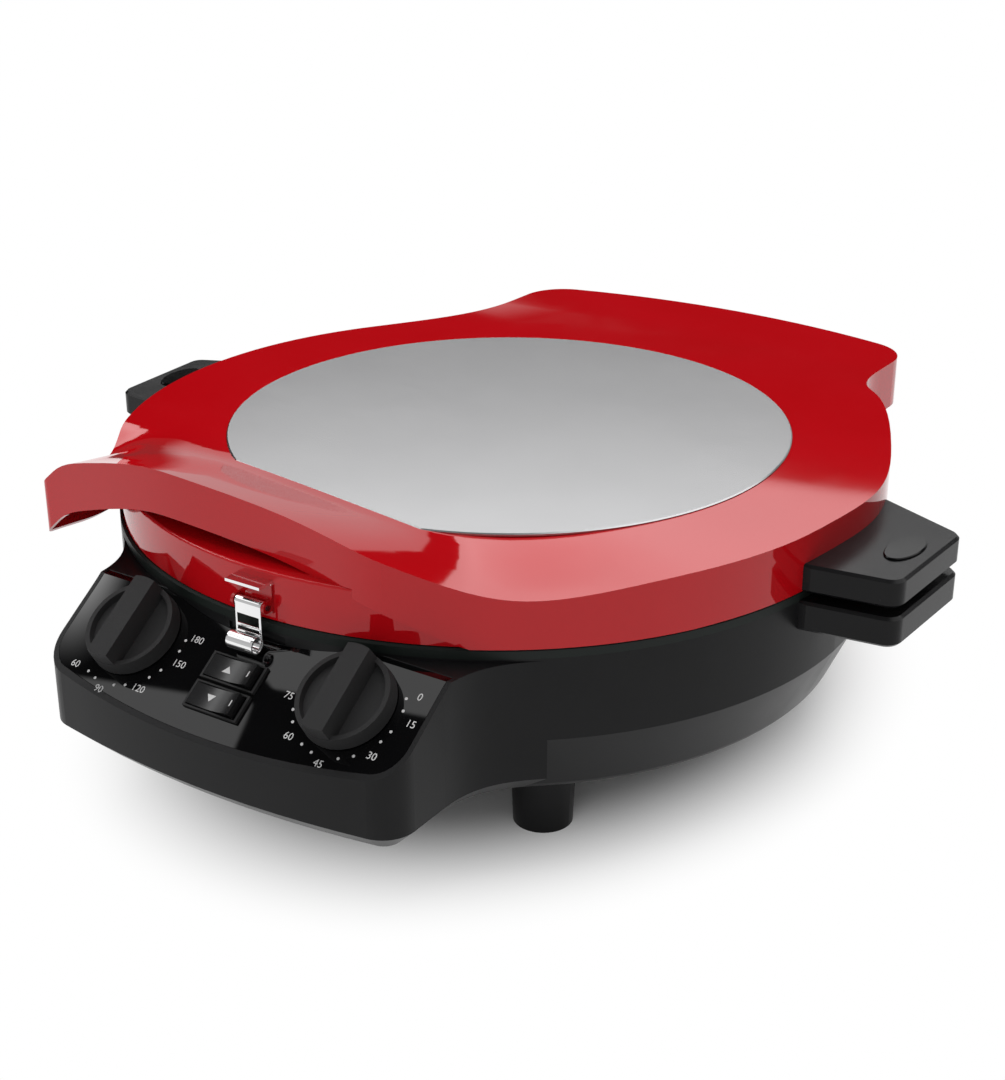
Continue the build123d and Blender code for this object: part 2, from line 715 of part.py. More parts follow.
def cover_outline(inset, z, height):
    """A prism on the cover's plan outline, moved in by inset."""
    r = body_r - inset
    side_x = ear_x - inset
    side_y = ear_y - inset
    tip_x = tongue_x + inset
    front_y = visor_y + inset
    right = on_ring(r, swell_start)[:2]
    away = (-sin(radians(swell_start)), cos(radians(swell_start)))
    left = on_ring(r, 180 - flank_top)[:2]
    along = (-sin(radians(flank_top)), cos(radians(flank_top)))
    start = on_ring(r, flank_left)[:2]
    down_left = (-sin(radians(flank_left)), cos(radians(flank_left)))
    corner = on_ring(r, flank_front)[:2]
    up_right = (-sin(radians(flank_front)), cos(radians(flank_front)))
    with BuildPart() as prism:
        with BuildSketch(Plane.XY.offset(z)) as plan:
            with BuildLine():
                Spline(right, (swell[0] - inset, swell[1]), (shoulder[0] - 0.87 * inset, shoulder[1] - 0.5 * inset),
                       (waist[0] - 0.92 * inset, waist[1] - 0.38 * inset), (side_x, ear_base), tangents=(away, (0, 1)))
                Line((side_x, ear_base), (side_x, side_y))
                ThreePointArc((side_x, side_y), (0, tail_y - inset), (-side_x, side_y))
                Line((-side_x, side_y), (-side_x, ear_base))
                Spline((-side_x, ear_base), left, tangents=((0, -1), (along[0], -along[1])))
                ThreePointArc(left, on_ring(r, (180 - flank_top + flank_left) / 2)[:2], start)
                Spline(start, (tip_x, tongue_base), tangents=(down_left, (0, -1)))
                Line((tip_x, tongue_base), (tip_x, front_y + tongue_round))
                Spline((tip_x, front_y + tongue_round), (visor_left_x, front_y - visor_bow), (visor_right_x, front_y - 2 * visor_bow),
                       corner, tangents=((1, -0.05), up_right))
                ThreePointArc(corner, on_ring(r, (flank_front + swell_start) / 2)[:2], right)
            make_face()
            fillet(plan.vertices().sort_by(Axis.Y)[-2:], ear_round - inset)
            low_left = plan.vertices().filter_by(lambda v: v.Y < 0).sort_by(Axis.X)[0:2]
            fillet(low_left.sort_by(Axis.Y)[0], tongue_round - inset)
        extrude(amount=height)
    return prism.part


seat_t = 0.4                   # depth of the disc's recess


def disc_outline(r, cut, z, height):
    """A disc with its front cut straight along the fold."""
    with BuildPart() as round_piece:
        with BuildSketch(Plane.XY.offset(z)):
            with Locations((0, disc_y)):
                Circle(r)
            fold = disc_mid + fold_dir * (cut + 100)
            with Locations(Location((fold.X, fold.Y, 0), (0, 0, -fold_turn))):
                Rectangle(400, 200, mode=Mode.SUBTRACT)
        extrude(amount=height)
    return round_piece.part


with BuildPart() as lid_cover:
    add(cover_outline(0, 80, 100))
    add(wavy_block(0, 100), mode=Mode.INTERSECT, clean=False)
    add(wavy_block(0, 100, skirt_drop), mode=Mode.SUBTRACT, clean=False)
skirt_block = lid_cover.part

below_skin = wavy_block(cover_t, 100)
with BuildPart() as cover_inside:
    add(cover_outline(skirt_t, 80, 100))
    add(below_skin, mode=Mode.INTERSECT, clean=False)

with BuildPart() as shell_room:
    with BuildSketch(Plane.XY.offset(lid_z - 30)):
        Circle(lid_r + cover_fit)
    extrude(amount=30 + lid_shell_z - lid_z)
    add(below_skin, mode=Mode.INTERSECT, clean=False)

with BuildPart() as lid_cover:
    add(skirt_block)
    add(cover_inside.part, mode=Mode.SUBTRACT, clean=False)
    add(disc_outline(disc_r + disc_fit, fold_d + disc_fit, deck_z - seat_t, 30), mode=Mode.SUBTRACT, clean=False)
    # spacers that stand the cover on the inner shell
    with BuildSketch(Plane.XY.offset(lid_shell_z)):
        with PolarLocations(108, 6):
            Circle(4.5)
    extrude(amount=deck_z - cover_t - lid_shell_z + 0.2, clean=False)
    # keep clear of the seal line, the lid's running gap and the inner shell
    with BuildSketch(Plane.XY.offset(lid_z - 30)):
        Circle(body_r + 1)
    extrude(amount=30, mode=Mode.SUBTRACT, clean=False)
    add(shell_room.part, mode=Mode.SUBTRACT, clean=False)
lid_cover.part.label = "lid_cover"

with BuildPart() as lid_disc:
    add(disc_outline(disc_r, fold_d, deck_z - seat_t, disc_t))
    chamfer(lid_disc.edges().group_by(Axis.Z)[-1], length=0.5)
lid_disc.part.label = "lid_disc"

with BuildPart() as above_cover_skin:
    add(wavy_block(cover_t + 0.2, -30))

# upper cooking plate, its heater and the reflector, hung inside the lid shell
upper_flange_z = lid_z + 1.5
upper_floor = 104.0
upper_t = 1.6
lid_inner_r = lid_r - lid_wall
flange_ring = 158.0            # four screws hold the plate's flange to posts in the lid shell
flange_screw_r = 1.5
flange_screw_l = 9.0
flange_post_r = 5.0

with BuildPart() as lid_shell:
    with BuildSketch(Plane.XZ):
        with BuildLine():
            Polyline((0, lid_shell_z), (lid_r, lid_shell_z), (lid_r, lid_z), (lid_r - lid_wall, lid_z),
                     (lid_r - lid_wall, lid_shell_z - lid_top_t), (0, lid_shell_z - lid_top_t), (0, lid_shell_z))
        make_face()
    revolve(axis=Axis.Z)
    fillet(lid_shell.edges().filter_by(GeomType.CIRCLE).group_by(Axis.Z)[-1], 1.2)
    with BuildSketch(Plane.XY.offset(upper_flange_z + upper_t)):
        with PolarLocations(flange_ring, 4, 45):
            Circle(flange_post_r)
            with Locations((flange_post_r, 0)):
                Rectangle(flange_post_r + 1, flange_post_r - 1)
    extrude(amount=lid_shell_z - lid_top_t - upper_flange_z - upper_t)
    with BuildSketch(Plane.XY.offset(upper_flange_z)):
        with PolarLocations(flange_ring, 4, 45):
            Circle(flange_screw_r)
    extrude(amount=flange_screw_l + 2, mode=Mode.SUBTRACT)
    add(above_cover_skin.part, mode=Mode.SUBTRACT)
lid_shell.part.label = "lid_shell"

with BuildPart() as upper_plate:
    with BuildSketch(Plane.XZ):
        with BuildLine():
            Polyline((0, upper_floor), (plate_r - 3, upper_floor), (plate_r, upper_flange_z),
                     (lid_inner_r - 1, upper_flange_z), (lid_inner_r - 1, upper_flange_z + upper_t),
                     (plate_r + 1, upper_flange_z + upper_t), (plate_r - 2, upper_floor + upper_t),
                     (0, upper_floor + upper_t), (0, upper_floor))
        make_face()
    revolve(axis=Axis.Z)
    with BuildSketch(Plane.XY.offset(upper_flange_z - 1)):
        with PolarLocations(flange_ring, 4, 45):
            Circle(flange_screw_r)
    extrude(amount=5, mode=Mode.SUBTRACT)
upper_plate.part.label = "upper_plate"

flange_head = (2.6, 1.2)       # across half its flats, and height

with BuildPart() as plate_screws:
    with BuildSketch(Plane.XY.offset(upper_flange_z - flange_head[1])):
        with PolarLocations(flange_ring, 4, 45):
            RegularPolygon(flange_head[0], 6, major_radius=False)
    extrude(amount=flange_head[1])
    with BuildSketch(Plane.XY.offset(upper_flange_z)):
        with PolarLocations(flange_ring, 4, 45):
            Circle(flange_screw_r - 0.05)
    extrude(amount=flange_screw_l)
plate_screws.part.label = "plate_screws"

upper_heater_z = upper_floor + upper_t + heater_gap + heater_tube_r
with BuildPart() as upper_heater:
    add(heater_solid(upper_heater_z, 4.2, heater_ring))
upper_heater.part.label = "upper_heater"

upper_pan_z = upper_heater_z + heater_tube_r + 0.8
with BuildPart() as upper_reflector:
    with BuildSketch(Plane.XZ):
        with BuildLine():
            Polyline((0, upper_pan_z), (pan_r, upper_pan_z), (pan_r + 5, upper_pan_z - 3), (pan_r + 5.6, upper_pan_z - 2.4),
                     (pan_r + 0.4, upper_pan_z + pan_t), (0, upper_pan_z + pan_t), (0, upper_pan_z))
        make_face()
    revolve(axis=Axis.Z)
    with BuildSketch(Plane.XY.offset(upper_pan_z)):
        with Locations((heater_ring * sin(radians(lead_angle)), heater_ring * cos(radians(lead_angle))),
                       (-heater_ring * sin(radians(lead_angle)), heater_ring * cos(radians(lead_angle)))):
            Circle(heater_tube_r + 0.8)
    extrude(amount=pan_t, mode=Mode.SUBTRACT)
upper_reflector.part.label = "upper_reflector"

with BuildPart() as reflector_spacers:
    with BuildSketch(Plane.XY.offset(upper_pan_z + pan_t)):
        with PolarLocations(70, 4, 45):
            Circle(5)
    extrude(amount=lid_shell_z - lid_top_t - upper_pan_z - pan_t)
reflector_spacers.part.label = "reflector_spacers"

# upper handles with their oval pads
pad_h = 0.9


def pad_solid(side, z):
    """An oval inlay on a handle, turned a little towards the front."""
    with BuildPart() as pad:
        with BuildSketch(Plane.XY.offset(z)):
            with Locations(Location((side * pad_at[0], pad_at[1], 0), (0, 0, side * pad_turn))):
                Ellipse(pad_size[0] / 2, pad_size[1] / 2)
        extrude(amount=pad_h + 1.0)
        chamfer(pad.edges().group_by(Axis.Z)[-1], length=0.4)
    return pad.part


def upper_handle(side):
    """The lid's handle with a shallow seat for the oval pad."""
    with BuildPart() as handle:
        add(handle_solid(side, *handle_upper, body_r))
        add(cover_outline(0, handle_upper[0] - 1, handle_upper[1] - handle_upper[0] + 2), mode=Mode.SUBTRACT)
        with BuildSketch(Plane.XY.offset(handle_upper[1] - 1.0)):
            with Locations(Location((side * pad_at[0], pad_at[1], 0), (0, 0, side * pad_turn))):
                Ellipse(pad_size[0] / 2 + 0.15, pad_size[1] / 2 + 0.15)
        extrude(amount=2, mode=Mode.SUBTRACT)
    return handle.part


with BuildPart() as upper_handle_right:
    add(upper_handle(1))
upper_handle_right.part.label = "upper_handle_right"

with BuildPart() as upper_handle_left:
    add(upper_handle(-1))
upper_handle_left.part.label = "upper_handle_left"

with BuildPart() as handle_pads:
    add(pad_solid(1, handle_upper[1] - 1.0))
    add(pad_solid(-1, handle_upper[1] - 1.0))
handle_pads.part.label = "handle_pads"

# hinge
base_ear_x = 46.0
lid_ear_x = 38.0
ear_t = 5.0
ear_r = 5.6
ear_fit = 0.3
bracket_h = 16.0


def hinge_ears(x, z_foot, z_side):
    """Two ears round the hinge axis, with webs back to the wall at one side of it."""
    with BuildPart() as ears:
        for side in (-1, 1):
            inner = side * (x + ear_t) if side < 0 else x
            with BuildSketch(Plane.YZ.offset(inner)):
                with Locations((hinge_y, hinge_z)):
                    Circle(ear_r)
                with BuildLine():
                    Polyline((155, z_foot), (hinge_y - 4, z_foot), (hinge_y + ear_r * 0.8, hinge_z + 0.6 * z_side * ear_r),
                             (hinge_y - 4, hinge_z + z_side * 0.5), (155, hinge_z + z_side * 2.2), (155, z_foot))
                make_face()
            extrude(amount=ear_t)
    return ears.part


with BuildPart() as base_hinge:
    add(hinge_ears(base_ear_x, rim_z - bracket_h - 4, -1))
    with BuildSketch(Plane.XY.offset(rim_z - bracket_h - 4)):
        with Locations((0, 164)):
            Rectangle(2 * (base_ear_x + ear_t), 14)
    extrude(amount=bracket_h)
    with BuildSketch():
        Circle(base_r)
    extrude(amount=200, mode=Mode.SUBTRACT)
    with BuildSketch(Plane.YZ.offset(-80)):
        with Locations((hinge_y, hinge_z)):
            Circle(pin_r)
    extrude(amount=160, mode=Mode.SUBTRACT)
base_hinge.part.label = "base_hinge"

lid_bracket_z = lid_z + 0.6
with BuildPart() as lid_hinge:
    add(hinge_ears(lid_ear_x, lid_bracket_z + 12, 1))
    with BuildSketch(Plane.XY.offset(lid_bracket_z + 3)):
        with Locations((0, 163)):
            Rectangle(2 * (lid_ear_x + ear_t), 14)
    extrude(amount=9)
    with BuildSketch(Plane.XY.offset(lid_z)):
        Circle(lid_r)
    extrude(amount=40, mode=Mode.SUBTRACT)
    with BuildSketch(Plane.XY.offset(lid_z - 30)):
        Circle(body_r + 1.5)
    extrude(amount=30.6, mode=Mode.SUBTRACT)
    with BuildSketch(Plane.YZ.offset(-80)):
        with Locations((hinge_y, hinge_z)):
            Circle(pin_r + pin_fit)
    extrude(amount=160, mode=Mode.SUBTRACT)
lid_hinge.part.label = "lid_hinge"

with BuildPart() as hinge_pin:
    reach = base_ear_x + ear_t
    with BuildSketch(Plane.YZ.offset(-reach - 0.5)):
        with Locations((hinge_y, hinge_z)):
            Circle(pin_r)
    extrude(amount=2 * reach + 1)
    for x in (-reach - 2.0, reach + 0.0):
        with BuildSketch(Plane.YZ.offset(x)):
            with Locations((hinge_y, hinge_z)):
                Circle(pin_r + 1.5)
        extrude(amount=2.0)
hinge_pin.part.label = "hinge_pin"

# latch
latch_w = 13.0
latch_t = 1.0
latch_pin_z = 106.0
latch_pin_y = -lid_r - 3.4
latch_pin_r = 1.1
latch_curl_z = 91.0
latch_curl_r = 2.4

with BuildPart() as latch_bracket:
    with BuildSketch(Plane.XZ.offset(lid_r - 0.6)):
        with Locations((0, latch_pin_z + 3.4)):
            Rectangle(latch_w + 4, 13.6)
    extrude(amount=1.4)
    with BuildSketch(Plane.XY.offset(latch_pin_z + 9)):
        with Locations((0, -lid_r - 3.6)):
            Rectangle(latch_w + 4, 8.4)
    extrude(amount=1.2)
    for side in (-1, 1):
        with BuildSketch(Plane.YZ.offset(side * (latch_w / 2 + 1.1) - 0.7)):
            with Locations((latch_pin_y, latch_pin_z)):
                Circle(2.4)
            with Locations((-lid_r - 1.6, latch_pin_z)):
                Rectangle(3.8, 4.8)
        extrude(amount=1.4)
    with BuildSketch(Plane.YZ.offset(-20)):
        with Locations((latch_pin_y, latch_pin_z)):
            Circle(latch_pin_r)
    extrude(amount=40, mode=Mode.SUBTRACT)
    with BuildSketch():
        Circle(lid_r)
    extrude(amount=200, mode=Mode.SUBTRACT)
latch_bracket.part.label = "latch_bracket"

with BuildPart() as latch_pin:
    with BuildSketch(Plane.YZ.offset(-latch_w / 2 - 2.4)):
        with Locations((latch_pin_y, latch_pin_z)):
            Circle(latch_pin_r)
    extrude(amount=latch_w + 4.8)
latch_pin.part.label = "latch_pin"

# a bent strip: eye on the pin, flat, window, and a rolled finger curl
with BuildPart() as latch_clip:
    with BuildSketch(Plane.YZ.offset(-latch_w / 2)):
        with Locations((latch_pin_y, latch_pin_z)):
            Circle(latch_pin_r + 0.05 + latch_t)
        with Locations((latch_pin_y - latch_pin_r - latch_t / 2, (latch_pin_z + latch_curl_z) / 2)):
            Rectangle(latch_t, latch_pin_z - latch_curl_z)
        with Locations((latch_pin_y - latch_pin_r - latch_curl_r, latch_curl_z)):
            Circle(latch_curl_r)
            Circle(latch_curl_r - latch_t, mode=Mode.SUBTRACT)
            with Locations((-latch_curl_r / 2, latch_curl_r)):
                Rectangle(latch_curl_r, 2 * latch_curl_r, mode=Mode.SUBTRACT)
    extrude(amount=latch_w)
    with BuildSketch(Plane.YZ.offset(-latch_w / 2)):
        with Locations((latch_pin_y, latch_pin_z)):
            Circle(latch_pin_r + 0.05)
    extrude(amount=latch_w, mode=Mode.SUBTRACT)
    with BuildSketch(Plane.XZ.offset(lid_r)):
        with Locations((0, 97.5)):
            Rectangle(latch_w - 5, 4)
    extrude(amount=12, mode=Mode.SUBTRACT)
latch_clip.part.label = "latch_clip"

# write one STEP file per piece
pieces = (
    base_shell, control_panel, thermostat, timer, temperature_shaft, timer_shaft, temperature_knob, timer_knob,
    upper_heat_switch, lower_heat_switch, upper_heat_rocker, lower_heat_rocker, heat_seal, lower_plate,
    lower_heater, lower_reflector, heater_clips, feet, foot_screws, cord_gland, lower_handle_right,
    lower_handle_left, handle_screws, lid_cover, lid_disc, lid_shell, upper_plate, plate_screws, upper_heater,
    upper_reflector, reflector_spacers, upper_handle_right, upper_handle_left, handle_pads, base_hinge,
    lid_hinge, hinge_pin, latch_bracket, latch_pin, latch_clip,
)
to_middle = Location((0, -(tail_y + console_front) / 2, 0))
for piece in pieces:
    placed = piece.part.moved(to_middle)
    placed.label = piece.part.label
    export_step(placed, f"parts/{placed.label}.step")
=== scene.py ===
import bpy
import bmesh
from math import radians, sin, cos
from mathutils import Vector, Matrix
from mathutils.bvhtree import BVHTree


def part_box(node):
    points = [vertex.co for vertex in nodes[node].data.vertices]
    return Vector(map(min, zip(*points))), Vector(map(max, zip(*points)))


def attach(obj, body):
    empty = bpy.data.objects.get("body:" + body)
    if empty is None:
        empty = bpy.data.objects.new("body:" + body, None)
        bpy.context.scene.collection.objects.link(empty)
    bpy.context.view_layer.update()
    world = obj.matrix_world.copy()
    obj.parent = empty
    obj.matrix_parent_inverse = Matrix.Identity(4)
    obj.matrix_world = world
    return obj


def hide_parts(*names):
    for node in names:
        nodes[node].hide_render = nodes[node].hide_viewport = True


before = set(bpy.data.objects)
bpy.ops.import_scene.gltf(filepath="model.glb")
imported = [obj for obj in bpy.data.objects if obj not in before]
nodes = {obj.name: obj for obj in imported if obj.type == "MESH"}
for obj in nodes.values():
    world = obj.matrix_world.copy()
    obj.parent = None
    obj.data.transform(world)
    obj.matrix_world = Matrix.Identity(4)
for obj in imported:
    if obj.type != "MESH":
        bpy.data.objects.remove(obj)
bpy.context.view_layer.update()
MM = 0.001

# The dials sit on the sloped panel. dial_mid is half way between them, on the panel's face.
panel_tilt = radians(35)
dial_x = 53.5 * MM
dial_reach = 20 * MM
dial_mid = Vector((0, -191.5 * MM, 82.3 * MM))
across = Vector((1, 0, 0))
up_slope = Vector((0, cos(panel_tilt), sin(panel_tilt)))
off_panel = Vector((0, -sin(panel_tilt), cos(panel_tilt)))


# Materials. Colours are linear, and depths of relief are in metres.

def new_material(name):
    """A node material with its tree and its Principled shader."""
    material = bpy.data.materials.new(name)
    material.use_nodes = True
    shader = material.node_tree.nodes["Principled BSDF"]
    return material, material.node_tree, shader


# Noise seldom leaves this range, so colours and gloss are spread over it.
cloud_low = 0.3
cloud_high = 0.7


def place_of(tree, stretch=(1, 1, 1)):
    """Object coordinates, stretched."""
    coordinates = tree.nodes.new("ShaderNodeTexCoord")
    mapping = tree.nodes.new("ShaderNodeMapping")
    mapping.inputs["Scale"].default_value = stretch
    tree.links.new(coordinates.outputs["Object"], mapping.inputs["Vector"])
    return mapping.outputs["Vector"]


def noise(tree, place, scale, detail, roughness=0.5):
    """Cloudy values round a half; a larger scale gives finer clouds."""
    texture = tree.nodes.new("ShaderNodeTexNoise")
    texture.inputs["Scale"].default_value = scale
    texture.inputs["Detail"].default_value = detail
    texture.inputs["Roughness"].default_value = roughness
    tree.links.new(place, texture.inputs["Vector"])
    return texture.outputs["Fac"]


def spread(tree, value, low, high, start=cloud_low, end=cloud_high):
    """Maps a value from start..end to low..high."""
    ramp = tree.nodes.new("ShaderNodeMapRange")
    ramp.inputs["From Min"].default_value = start
    ramp.inputs["From Max"].default_value = end
    ramp.inputs["To Min"].default_value = low
    ramp.inputs["To Max"].default_value = high
    tree.links.new(value, ramp.inputs["Value"])
    return ramp.outputs["Result"]


def two_tone(tree, value, dark, light):
    """A colour that drifts from dark to light with the value."""
    ramp = tree.nodes.new("ShaderNodeValToRGB")
    ramp.color_ramp.elements[0].position = cloud_low
    ramp.color_ramp.elements[0].color = (*dark, 1)
    ramp.color_ramp.elements[1].position = cloud_high
    ramp.color_ramp.elements[1].color = (*light, 1)
    tree.links.new(value, ramp.inputs["Fac"])
    return ramp.outputs["Color"]


def bump(tree, shader, height, depth):
    """Fine relief, with its depth in metres."""
    node = tree.nodes.new("ShaderNodeBump")
    node.inputs["Distance"].default_value = depth
    tree.links.new(height, node.inputs["Height"])
    tree.links.new(node.outputs["Normal"], shader.inputs["Normal"])


def moulded(name, dark, light, rough, grain, depth, specular=0.5):
    """Moulded plastic with a fine grain and slightly uneven gloss."""
    material, tree, shader = new_material(name)
    place = place_of(tree)
    cloud = noise(tree, place, 35, 3)
    tree.links.new(two_tone(tree, cloud, dark, light), shader.inputs["Base Color"])
    tree.links.new(spread(tree, cloud, rough[0], rough[1]), shader.inputs["Roughness"])
    shader.inputs["Specular IOR Level"].default_value = specular
    bump(tree, shader, noise(tree, place, grain, 4, 0.6), depth)
    return material


def lacquer(name, dark, light):
    """Glossy red lacquer: even colour, a sharp reddish gloss and a trace of orange peel."""
    material, tree, shader = new_material(name)
    place = place_of(tree)
    cloud = noise(tree, place, 18, 2)
    tree.links.new(two_tone(tree, cloud, dark, light), shader.inputs["Base Color"])
    tree.links.new(spread(tree, noise(tree, place, 60, 3), 0.035, 0.05), shader.inputs["Roughness"])
    shader.inputs["Specular IOR Level"].default_value = 0.7
    shader.inputs["Specular Tint"].default_value = (1, 0.50, 0.51, 1)
    bump(tree, shader, noise(tree, place, 420, 2), 0.000001)
    return material


def metal(name, dark, light, rough, stretch, line_scale, depth):
    """Worked metal: brush lines run along the axis that the stretch leaves long."""
    material, tree, shader = new_material(name)
    shader.inputs["Metallic"].default_value = 1.0
    lines = noise(tree, place_of(tree, stretch), line_scale, 3, 0.6)
    cloud = noise(tree, place_of(tree), 22, 3)
    tree.links.new(two_tone(tree, cloud, dark, light), shader.inputs["Base Color"])
    tree.links.new(spread(tree, lines, rough[0], rough[1]), shader.inputs["Roughness"])
    bump(tree, shader, lines, depth)
    return material


red_dark = (0.49, 0.0028, 0.006)
red_light = (0.52, 0.0036, 0.008)
red_lacquer = lacquer("red_lacquer", red_dark, red_light)
red_wall = lacquer("red_inner_wall", red_dark, red_light)
satin_black = moulded("satin_black", (0.0085, 0.0085, 0.009), (0.0105, 0.0105, 0.011),
                      (0.28, 0.36), 900, 0.00002, 0.14)
matte_black = moulded("matte_black", (0.024, 0.024, 0.0245), (0.028, 0.028, 0.0285),
                      (0.45, 0.55), 1300, 0.00004, 0.12)
handle_black = moulded("handle_black", (0.0055, 0.0055, 0.006), (0.0075, 0.0075, 0.008),
                       (0.20, 0.28), 1100, 0.00003, 0.16)
gloss_black = moulded("gloss_black", (0.0015, 0.0015, 0.0018), (0.0022, 0.0022, 0.0025),
                      (0.01, 0.02), 160, 0.0000003)
pad_black = moulded("pad_black", (0.002, 0.002, 0.0022), (0.003, 0.003, 0.0032),
                    (0.10, 0.16), 300, 0.000004, 0.12)
key_black = moulded("key_black", (0.006, 0.006, 0.0065), (0.008, 0.008, 0.0085),
                    (0.22, 0.30), 900, 0.00001, 0.3)
soft_rubber = moulded("soft_rubber", (0.007, 0.010, 0.009), (0.010, 0.014, 0.012),
                      (0.45, 0.6), 700, 0.00003, 0.2)
plain_plastic = moulded("plain_plastic", (0.09, 0.09, 0.085), (0.12, 0.12, 0.11),
                        (0.45, 0.55), 800, 0.00003)
disc_metal = metal("brushed_disc", (0.405, 0.405, 0.41), (0.425, 0.425, 0.43),
                   (0.24, 0.27), (1, 30, 1), 60, 0.0000002)
coated_plate = moulded("coated_plate", (0.017, 0.017, 0.018), (0.022, 0.022, 0.0235),
                       (0.36, 0.4), 700, 0.00004)
heater_sheath = metal("heater_sheath", (0.10, 0.095, 0.09), (0.18, 0.165, 0.15),
                      (0.35, 0.5), (1, 1, 1), 300, 0.00001)
bright_steel = metal("bright_steel", (0.62, 0.62, 0.62), (0.7, 0.7, 0.7),
                     (0.22, 0.34), (1, 12, 1), 120, 0.000004)
plain_steel = metal("plain_steel", (0.46, 0.46, 0.46), (0.56, 0.56, 0.56),
                    (0.28, 0.4), (1, 1, 8), 200, 0.000004)
chrome_dark = (0.82, 0.82, 0.83)
chrome_light = (0.9, 0.9, 0.9)
polished_chrome = metal("polished_chrome", chrome_dark, chrome_light, (0.05, 0.10), (1, 1, 1), 90, 0.000001)
dark_steel = metal("dark_steel", (0.10, 0.10, 0.105), (0.14, 0.14, 0.145),
                   (0.2, 0.3), (1, 1, 1), 90, 0.000001)
white_ink = moulded("white_ink", (0.55, 0.55, 0.55), (0.65, 0.65, 0.65), (0.4, 0.5), 1500, 0.00001)
paint_edge_z = 114.5 * MM


def painted_bracket():
    """Chrome that is painted with the lid's red below its top tab."""
    material, tree, shader = new_material("painted_bracket")
    place = place_of(tree)
    height = tree.nodes.new("ShaderNodeSeparateXYZ")
    tree.links.new(place, height.inputs["Vector"])
    bare = spread(tree, height.outputs["Z"], 0, 1, paint_edge_z, paint_edge_z + 0.2 * MM)
    mix = tree.nodes.new("ShaderNodeMix")
    mix.data_type = "RGBA"
    # a colour mix has its sockets at these places, because its names serve several kinds
    factor, first, second, mixed = mix.inputs[0], mix.inputs[6], mix.inputs[7], mix.outputs[2]
    paint = two_tone(tree, noise(tree, place, 18, 2), (0.40, 0.0024, 0.005), (0.43, 0.003, 0.006))
    chrome = two_tone(tree, noise(tree, place, 22, 3), chrome_dark, chrome_light)
    tree.links.new(bare, factor)
    tree.links.new(paint, first)
    tree.links.new(chrome, second)
    tree.links.new(mixed, shader.inputs["Base Color"])
    tree.links.new(bare, shader.inputs["Metallic"])
    tree.links.new(spread(tree, noise(tree, place, 60, 3), 0.06, 0.12), shader.inputs["Roughness"])
    return material


finish_of = {
    "lid_cover": red_lacquer, "lid_shell": red_wall, "lid_disc": disc_metal,
    "base_shell": satin_black, "control_panel": gloss_black,
    "temperature_knob": matte_black, "timer_knob": matte_black,
    "upper_heat_rocker": key_black, "lower_heat_rocker": key_black,
    "upper_heat_switch": matte_black, "lower_heat_switch": matte_black,
    "thermostat": plain_plastic, "timer": plain_plastic,
    "temperature_shaft": plain_steel, "timer_shaft": plain_steel,
    "heat_seal": soft_rubber, "feet": satin_black, "cord_gland": matte_black,
    "lower_handle_right": handle_black, "lower_handle_left": handle_black,
    "upper_handle_right": handle_black, "upper_handle_left": handle_black,
    "handle_pads": pad_black, "handle_screws": plain_steel, "foot_screws": plain_steel,
    "plate_screws": plain_steel, "lower_plate": coated_plate, "upper_plate": coated_plate,
    "lower_heater": heater_sheath, "upper_heater": heater_sheath, "heater_clips": plain_steel,
    "lower_reflector": bright_steel, "upper_reflector": bright_steel,
    "reflector_spacers": plain_steel, "base_hinge": satin_black, "lid_hinge": satin_black,
    "hinge_pin": plain_steel, "latch_bracket": painted_bracket(), "latch_pin": dark_steel,
    "latch_clip": polished_chrome,
}


def set_material(obj, material):
    """Gives an object this one material."""
    obj.data.materials.clear()
    obj.data.materials.append(material)


for node_name, node in nodes.items():
    set_material(node, finish_of[node_name])


# Printed marks on the panel

def panel_place(x, up, lift):
    """A place on the panel, from the point half way between the dials."""
    return dial_mid + across * x + up_slope * up + off_panel * lift


panel_face = max((v.co - dial_mid).dot(off_panel) for v in nodes["control_panel"].data.vertices
                 if abs(v.co.x) < dial_x and abs((v.co - dial_mid).dot(up_slope)) < dial_reach)
ink_lift = 0.04 * MM
ink_t = 0.03 * MM


def lay_on_panel(mesh, x, up):
    """Moves a mesh drawn flat round the origin to its place on the panel."""
    axes = Matrix((across, up_slope, off_panel)).transposed().to_4x4()
    place = Matrix.Translation(panel_place(x, up, panel_face + ink_lift))
    mesh.transform(place @ axes)


def to_plain_mesh(obj):
    """The evaluated object's mesh, with nothing left live."""
    depsgraph = bpy.context.evaluated_depsgraph_get()
    mesh = bpy.data.meshes.new_from_object(obj.evaluated_get(depsgraph))
    bpy.data.objects.remove(obj)
    return mesh


def link_piece(name, mesh, material, body):
    """A finished piece that rides on a body."""
    piece = bpy.data.objects.new(name, mesh)
    bpy.context.scene.collection.objects.link(piece)
    set_material(piece, material)
    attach(piece, body)
    return piece


def join_meshes(meshes):
    """One mesh that holds them all, where they are."""
    joined = bmesh.new()
    for mesh in meshes:
        joined.from_mesh(mesh)
    result = bpy.data.meshes.new("joined")
    joined.to_mesh(result)
    joined.free()
    return result


def number_mesh(words):
    """A number in thin raised ink, drawn flat round the origin."""
    curve = bpy.data.curves.new("number", "FONT")
    curve.body = words
    curve.size = number_size
    curve.align_x = "CENTER"
    curve.align_y = "CENTER"
    curve.extrude = ink_t / 2
    curve.resolution_u = 4
    holder = bpy.data.objects.new("number", curve)
    bpy.context.scene.collection.objects.link(holder)
    return to_plain_mesh(holder)


def dial_numbers(dial, numbers):
    """numbers is a list of (words, angle in degrees, distance from the dial's middle)."""
    meshes = []
    for words, angle, distance in numbers:
        mesh = number_mesh(words)
        lay_on_panel(mesh, dial + distance * cos(radians(angle)), distance * sin(radians(angle)))
        meshes.append(mesh)
    return meshes


